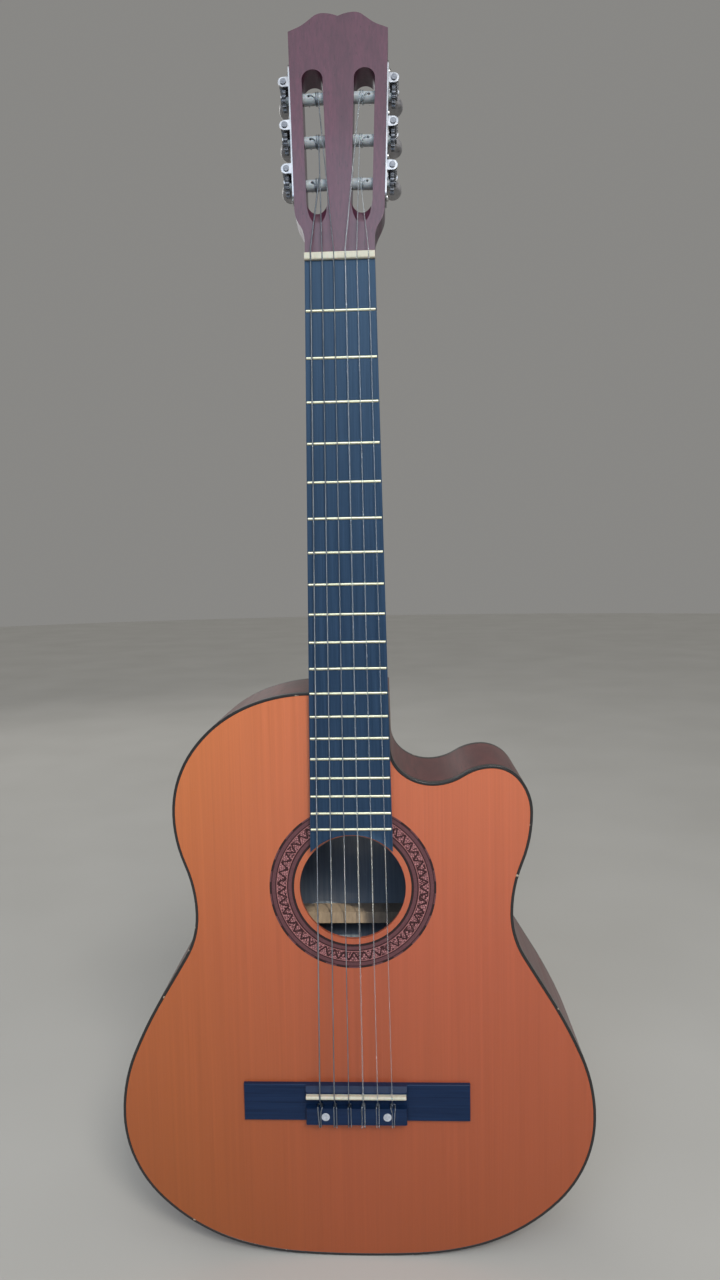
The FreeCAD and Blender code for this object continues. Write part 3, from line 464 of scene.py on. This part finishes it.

# ------------------------------------------------------------------ neck and headstock
# One wood, stained red-brown: a slim rounded shaft with a deep heel, and a slotted headstock
# glued on at an angle, its long slots cut right through for the rollers. The corners of its
# back are carved down to meet the shaft. A blue-mauve cast in its colour and coat tint is a
# painted reflection of bluish light.

# Where the carving's faces meet: millimetres out from the middle and behind the head's face.
CARVE_LINES = (((25.6, 12.0), (22.6, 17.2)), ((22.6, 17.2), (15.5, 19.7)))
CARVE_SLOPE = 0.30
FACE_STEP = 3.0 * MM
# The blue in these colours and the blue coat tint: painted reflection of bluish light.
neck_finish = porous_wood("neck_mahogany_satin", dark=(0.066, 0.014, 0.030),
                          light=(0.112, 0.026, 0.048), along=(560, 560, 10), roughness=0.36,
                          coat=0.36, Coat_Tint=(0.7, 0.8, 1.0, 1))
dress(neck_finish, "neck")
frame_joints = {joint["name"]: joint for joint in frame["joints"]}
nut_low, nut_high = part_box("nut")
head_back = Vector(frame_joints["knob_1_turn"]["axis"]).normalized()
head_up = Vector((1, 0, 0)).cross(head_back)
head_foot = Vector((0, nut_high.y, nut_high.z)) - head_back * FACE_STEP
carves = []
for (x, depth), (next_x, next_depth) in CARVE_LINES:
    for side in (-1, 1):
        point = head_foot + Vector((side * x * MM, 0, 0)) + head_back * depth * MM
        run = Vector((side * (next_x - x), 0, 0)) + head_back * (next_depth - depth)
        normal = run.cross(head_up).normalized()
        normal *= 1 if normal.x * side > 0 else -1
        carves.append((point, (normal - head_up * CARVE_SLOPE).normalized()))
softened("headstock", "slotted_headstock", neck_finish, width=0.0008,
         sharp=30.0, shaves=carves)

# ------------------------------------------------------------------ fretboard and bridge
# Dyed black hardwood, close-grained and only oiled. Its navy colours and blue-tinted sheen are
# a painted reflection of bluish light.
# The bridge has low wings, a tie block drilled for the strings, and a slot for the saddle.
# A blue tint on the reflections and sheen: painted reflection of bluish light.
PAINTED_BLUE_REFLECTION = (0.55, 0.80, 1.0, 1)
fretboard_finish = new_finish("ebonised_fretboard", Specular_IOR_Level=0.42, Specular_Tint=PAINTED_BLUE_REFLECTION,
                              Sheen_Weight=0.18, Sheen_Roughness=0.5, Sheen_Tint=PAINTED_BLUE_REFLECTION)
fretboard_streaks = grain(fretboard_finish, (700, 700, 16))
# Navy colours: black wood with a painted reflection of bluish light.
toned(fretboard_finish, fretboard_streaks, dark=(0.010, 0.027, 0.062),
      light=(0.022, 0.049, 0.102), roughness=(0.36, 0.52), span=(0.3, 0.75))
relief(fretboard_finish, fretboard_streaks, depth=0.00010)
softened("fretboard", "fretboard_slab", fretboard_finish, width=0.0004)
# Navy colours: black wood with a painted reflection of bluish light.
bridge_finish = new_finish("ebonised_bridge", Specular_IOR_Level=0.22)
bridge_streaks = grain(bridge_finish, (16, 700, 700))
toned(bridge_finish, bridge_streaks, dark=(0.003, 0.013, 0.044), light=(0.008, 0.027, 0.078),
      roughness=(0.32, 0.48), span=(0.3, 0.75))
relief(bridge_finish, bridge_streaks, depth=0.00010)
softened("bridge", "bridge_carved", bridge_finish, width=0.0004, sharp=40.0)

# ------------------------------------------------------------------ frets
# Nineteen rounded nickel-silver wires, each pressed into a saw cut by its thin tang. Their
# polish is uneven from playing.
fret_finish = new_finish("fret_nickel_silver", Metallic=1.0)
toned(fret_finish, grain(fret_finish, (60, 500, 500), detail=5.0), dark=(0.74, 0.72, 0.50),
      light=(0.92, 0.90, 0.68), roughness=(0.20, 0.36))
dress(fret_finish, "frets")

# ------------------------------------------------------------------ nut and saddle
# Cream bone-like plastic. The nut has a slot for each string, and the saddle stands in its
# slot in the bridge, with a rounded crown.
bone_finish = new_finish("cream_bone_plastic", Subsurface_Weight=0.15, Subsurface_Scale=0.002)
bone_streaks = grain(bone_finish, (420, 420, 90))
toned(bone_finish, bone_streaks, dark=(0.50, 0.49, 0.38), light=(0.62, 0.60, 0.49),
      roughness=(0.30, 0.45))
relief(bone_finish, bone_streaks, depth=0.00004)
softened("nut", "slotted_nut", bone_finish, width=0.0003)
softened("saddle", "crowned_saddle", bone_finish, width=0.0003)


# ------------------------------------------------------------------ bridge bolts and dots
# Two steel bolts under pearl-grey plastic dots clamp the bridge, with washers and nuts inside
# the box.
def pearl(name, swirl_scale, flakes_per_metre, flake_share, dark, light, roughness, **sockets):
    """Plastic with soft swirls and paler flakes."""
    made = new_finish(name, **sockets)
    swirl = grain(made, swirl_scale, detail=3.0)
    flakes = node(made, "TexVoronoi",
                  [("Vector", object_place(made)), ("Scale", flakes_per_metre)])
    toned(made, figure(made, "MULTIPLY_ADD", flakes, flake_share, swirl), dark, light, roughness,
          span=(0.35, 0.8), roughness_span=(0.3, 0.8))
    return made


dot_finish = pearl("pearl_grey_plastic", swirl_scale=(190, 190, 190), flakes_per_metre=420.0,
                   flake_share=0.35, dark=(0.26, 0.29, 0.34), light=(0.52, 0.55, 0.60),
                   roughness=(0.22, 0.36), Coat_Weight=0.6, Coat_Roughness=0.08)
dress(dot_finish, "bridge_dots")
steel_finish = new_finish("screw_steel", Metallic=1.0)
toned(steel_finish, grain(steel_finish, (900, 900, 900), detail=4.0), dark=(0.42, 0.42, 0.42),
      light=(0.62, 0.62, 0.62), roughness=(0.26, 0.44))
dress(steel_finish, "bridge_bolts")

# ------------------------------------------------------------------ tuner plates
# Two pressed nickel-plated plates, one on each side of the headstock, whose ears carry the
# worms. Four steel screws hold each plate.
plate_finish = new_finish("nickel_plate", Metallic=1.0)
toned(plate_finish, grain(plate_finish, (500, 500, 60), detail=4.0), dark=(0.30, 0.31, 0.33),
      light=(0.50, 0.51, 0.53), roughness=(0.22, 0.40))
for side in ("bass", "treble"):
    softened(side + "_tuner_plate", side + "_plate_pressed", plate_finish,
             width=0.0003)
dress(steel_finish, "plate_screws")

# ------------------------------------------------------------------ rollers
# White plastic barrels across the slots of the headstock, each turned by the toothed wheel on
# its outer end. They are numbered up the treble side and down the bass side.
MACHINES = range(1, 7)
roller_finish = new_finish("white_roller_plastic", Subsurface_Weight=0.1, Subsurface_Scale=0.001)
toned(roller_finish, grain(roller_finish, (300, 300, 300), detail=3.0), dark=(0.30, 0.34, 0.37),
      light=(0.42, 0.46, 0.47), roughness=(0.32, 0.46))
for number in MACHINES:
    softened("roller_%d" % number, "roller_barrel_%d" % number, roller_finish,
             width=0.0003)

# ------------------------------------------------------------------ toothed wheels and worms
# A plated steel wheel, held on the roller by a screw, meshes with a steel worm. Both are dark
# and dull, with an uneven tone.
gear_finish = new_finish("gear_steel", Metallic=1.0)
gear_field = grain(gear_finish, (700, 700, 700), detail=4.0)
toned(gear_finish, gear_field, dark=(0.105, 0.115, 0.135), light=(0.235, 0.245, 0.265),
      roughness=(0.30, 0.50))
relief(gear_finish, gear_field, depth=0.00004)
for number in MACHINES:
    softened("gear_%d" % number, "toothed_wheel_%d" % number, gear_finish,
             width=0.00015, segments=1)
    softened("worm_%d" % number, "worm_shaft_%d" % number, gear_finish,
             width=0.00012, segments=1)

# ------------------------------------------------------------------ buttons
# Oval grips of pearl plastic, pressed on the worms' shafts, coloured dark grey as painted
# shade, for they sit in shade behind the headstock. Their pearl is drawn out along the shaft.
# Dark greys: pearl plastic with painted shade.
shaded_button_finish = pearl("shaded_pearl_plastic", swirl_scale=(150, 60, 150), flakes_per_metre=300.0,
                      flake_share=0.30, dark=(0.120, 0.120, 0.135),
                      light=(0.300, 0.295, 0.310), roughness=(0.24, 0.40), Coat_Weight=0.5,
                      Coat_Roughness=0.1)
for number in MACHINES:
    softened("button_%d" % number, "button_grip_%d" % number, shaded_button_finish,
             width=0.0006)

# ------------------------------------------------------------------ string finishes
# The three trebles are clear nylon. The three basses are silvered wire, wound in close rings
# round a soft core.
nylon_finish = new_finish("clear_nylon", Transmission_Weight=0.85, IOR=1.45)
toned(nylon_finish, grain(nylon_finish, (200, 200, 40), detail=2.0), dark=(0.66, 0.72, 0.76),
      light=(0.80, 0.85, 0.88), roughness=(0.16, 0.28))
WIRE_PITCH = 0.28 * MM
WAVE_RATE = 20  # radians in a metre, in a wave pattern of scale 1
wound_finish = new_finish("silvered_winding", Metallic=1.0)
toned(wound_finish, grain(wound_finish, (200, 200, 40), detail=3.0), dark=(0.19, 0.22, 0.26),
      light=(0.34, 0.38, 0.42), roughness=(0.30, 0.44))
wound_rings = node(wound_finish, "TexWave",
                   [("Vector", object_place(wound_finish)),
                    ("Scale", 2 * math.pi / (WAVE_RATE * WIRE_PITCH))],
                   wave_type="BANDS", bands_direction="Z")
relief(wound_finish, wound_rings, depth=0.00006)

# ------------------------------------------------------------------ strings
# One end of each string lies in turns round its roller and goes through the roller's hole.
# From the roller it runs over nut and saddle and through the tie block, then back over the
# block, under itself and over again. Sizes here are in millimetres, and angles in degrees.
STRING_SIZES = (0.71, 0.82, 1.02, 0.74, 0.89, 1.09)
FIRST_BASS = 4
ROLLER_RADIUS = 4.25
ROLLER_HOLE = -13.7
TURN_COUNT = 1.65
TURN_STEPS = 18
TURN_START = 110
TURN_GAP = 0.15
TURN_SAG = 0.984
CROSSING_LIFT = 0.1
HOLE_MIDDLE = 2.0
END_LEAN = 0.4
END_LENGTH = 3


def on_roller(number, outwards, angle, radius):
    """A point round a roller, from millimetres along its axis, degrees up from its front and
    a radius in millimetres."""
    joint = frame_joints["roller_%d_turn" % number]
    outward = Vector(joint["axis"]).normalized()
    back = Vector(frame_joints["knob_%d_turn" % number]["axis"]).normalized()
    up = outward.cross(back) * (1 if outward.x > 0 else -1)
    spoke = up * math.sin(math.radians(angle)) - back * math.cos(math.radians(angle))
    return Vector(joint["pos_m"]) + (outward * outwards + spoke * radius) * MM


def string_place(number, size):
    """How far out along its roller a string comes down, beside its turns."""
    sleeve = sum(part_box("winding_%d" % number), Vector()) / 2
    joint = frame_joints["roller_%d_turn" % number]
    return (sleeve - Vector(joint["pos_m"])).dot(Vector(joint["axis"])) / MM - 2 * size - TURN_GAP


def turns_route(number, size):
    """Turns round the roller, then across to its hole, through it and out at the back. The
    smooth line runs a little inside its points, so they stand out from the roller."""
    on_surface = (ROLLER_RADIUS + size / 2) / TURN_SAG
    first = string_place(number, size) + size + TURN_GAP
    last = first + size * TURN_COUNT
    gap = ROLLER_HOLE - last
    route = []
    for step in range(round(TURN_STEPS * TURN_COUNT)):
        angle = TURN_START + 360 * step / TURN_STEPS
        route.append(on_roller(number, first + size * step / TURN_STEPS, angle, on_surface))
    crossing = (
        (last + gap * 0.15, -12, on_surface),
        (last + gap * 0.65, 3, on_surface + CROSSING_LIFT),
        (ROLLER_HOLE, 0, on_surface + CROSSING_LIFT),
        (ROLLER_HOLE, 0, HOLE_MIDDLE),
        (ROLLER_HOLE, 180, ROLLER_RADIUS),
        (ROLLER_HOLE + END_LEAN, 184, ROLLER_RADIUS + END_LENGTH),
    )
    return route + [on_roller(number, *point) for point in crossing]


def strand(name, points, size, number, body, node_name):
    """A round string along a smooth line that stands for a CAD node, riding a body."""
    line = bpy.data.curves.new(name + "_line", "CURVE")
    line.dimensions = "3D"
    line.bevel_depth = size / 2 * MM
    line.bevel_resolution = 3
    line.resolution_u = 6
    line.use_fill_caps = True
    spline = line.splines.new("NURBS")
    spline.points.add(len(points) - 1)
    for control, point in zip(spline.points, points):
        control.co = (*point, 1)
    spline.order_u = 3
    spline.use_endpoint_u = True
    draft = bpy.data.objects.new(name + "_draft", line)
    mesh = bpy.data.meshes.new_from_object(draft)
    bpy.data.objects.remove(draft)
    mesh.name = name
    mesh.shade_smooth()
    mesh.materials.clear()
    mesh.materials.append(nylon_finish if number < FIRST_BASS else wound_finish)
    made = added(name, mesh)
    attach(made, body)
    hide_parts(node_name)


# Over the nut and the saddle.
NUT_SPACING = 8.6
NUT_SLOT_DEPTH = 0.6
NUT_RUN = 1
SADDLE_SPACING = 11.6
SADDLE_CONTACT = 0.03
BREAK_ANGLE = 18.5
# Through the tie block, and round under the string in front of it.
TIE_BLOCK = 15.2
HOLE_MOUTH = 16.2
HOLE_FRONT = 6.2
HOLE_REAR = 5.4
BELOW_BLOCK = 1.9
OUTER_CROSSING = (1.1, 2.3)
INNER_CROSSING = (0.8, 0.9)
UNDER_DEPTH = 4.5
UNDER_SIDE = 1.3
# The tail that stands out below the block.
OUTER_TAIL_SIDE = 0.3
OUTER_TAIL_EASE = 0.35
OUTER_TAIL_BEND = 11.3
TAIL_SPREAD = 0.25
TAIL_LENGTH = 1.9
TAIL_VARIATION = 0.7
TAIL_DROP = 0.3
# How far from each corner its bend starts, from the nut to the tail.
BENDS = (2.0, 2.0, 1.3, 1.6, 2.0, 1.8, 1.4, 0.95, 0.95, 1.4, 1.2)
# Round the front of the roller, where the points stand out a little from the smooth line.
ROLLER_CLEARANCE = 0.1
WRAP_ANGLES = range(110, 9, -20)
WRAP_SAG = 0.985
MIDDLE_STRING = (len(STRING_SIZES) + 1) / 2
saddle_low, saddle_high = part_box("saddle")
bridge_low, bridge_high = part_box("bridge")


def eased(corners, distances):
    """The corners of a line, each with a point before and after, so that it bends only there."""
    route = [corners[0]]
    for before, corner, after, distance in zip(corners, corners[1:], corners[2:], distances):
        route.append(corner + (before - corner).normalized() * distance * MM)
        route.append(corner)
        route.append(corner + (after - corner).normalized() * distance * MM)
    return route + [corners[-1]]


def string_route(number, size):
    """From round the front of the roller to the string's tail below the bridge."""
    half = size / 2
    side = 1 if number < FIRST_BASS else -1
    outer = number in (1, len(STRING_SIZES))
    nut_x = NUT_SPACING * (MIDDLE_STRING - number)
    x = SADDLE_SPACING * (MIDDLE_STRING - number)
    slot = nut_low.y / MM + NUT_SLOT_DEPTH - half
    face = bridge_high.y / MM
    top = bridge_low.y / MM - half
    low = bridge_low.z / MM
    front = low + TIE_BLOCK
    over = (saddle_high.z - saddle_low.z) / MM / 2 + half
    crown_z = (saddle_low.z + saddle_high.z) / MM / 2 - over * math.tan(math.radians(BREAK_ANGLE))
    rise, cross = OUTER_CROSSING if outer else INNER_CROSSING
    corners = [
        (nut_x, slot, nut_high.z / MM + NUT_RUN),
        (nut_x, slot, nut_low.z / MM - NUT_RUN),
        (x, saddle_low.y / MM - half - SADDLE_CONTACT, crown_z),
        (x, face - HOLE_FRONT, low + HOLE_MOUTH),
        (x, face - HOLE_REAR, low - BELOW_BLOCK),
        (x + side * rise, top, low - BELOW_BLOCK),
        (x + side * cross, top, front),
        (x + side * cross, face - UNDER_DEPTH, front),
        (x - side * UNDER_SIDE, face - UNDER_DEPTH, front),
        (x - side * UNDER_SIDE, top, front),
    ]
    if outer:
        tail_x = x - side * (OUTER_TAIL_SIDE - half * OUTER_TAIL_EASE)
        corners.append((tail_x, top, low + OUTER_TAIL_BEND))
    else:
        tail_x = x - side * (UNDER_SIDE + TAIL_SPREAD * math.sin(5 * number))
    tail_length = TAIL_LENGTH + TAIL_VARIATION * math.sin(3 * number)
    corners.append((tail_x, top + TAIL_DROP, low - tail_length))
    corners = [Vector(corner) * MM for corner in corners]
    arc = (ROLLER_RADIUS + half + ROLLER_CLEARANCE) / WRAP_SAG
    outwards = string_place(number, size)
    wrap = [on_roller(number, outwards, angle, arc) for angle in WRAP_ANGLES]
    return wrap[:-1] + eased([wrap[-1]] + corners, BENDS)


for number, size in enumerate(STRING_SIZES, 1):
    strand("tied_string_%d" % number, string_route(number, size), size, number, "root",
           "string_%d" % number)
    strand("string_turns_%d" % number, turns_route(number, size), size, number,
           "drum_%d" % number, "winding_%d" % number)
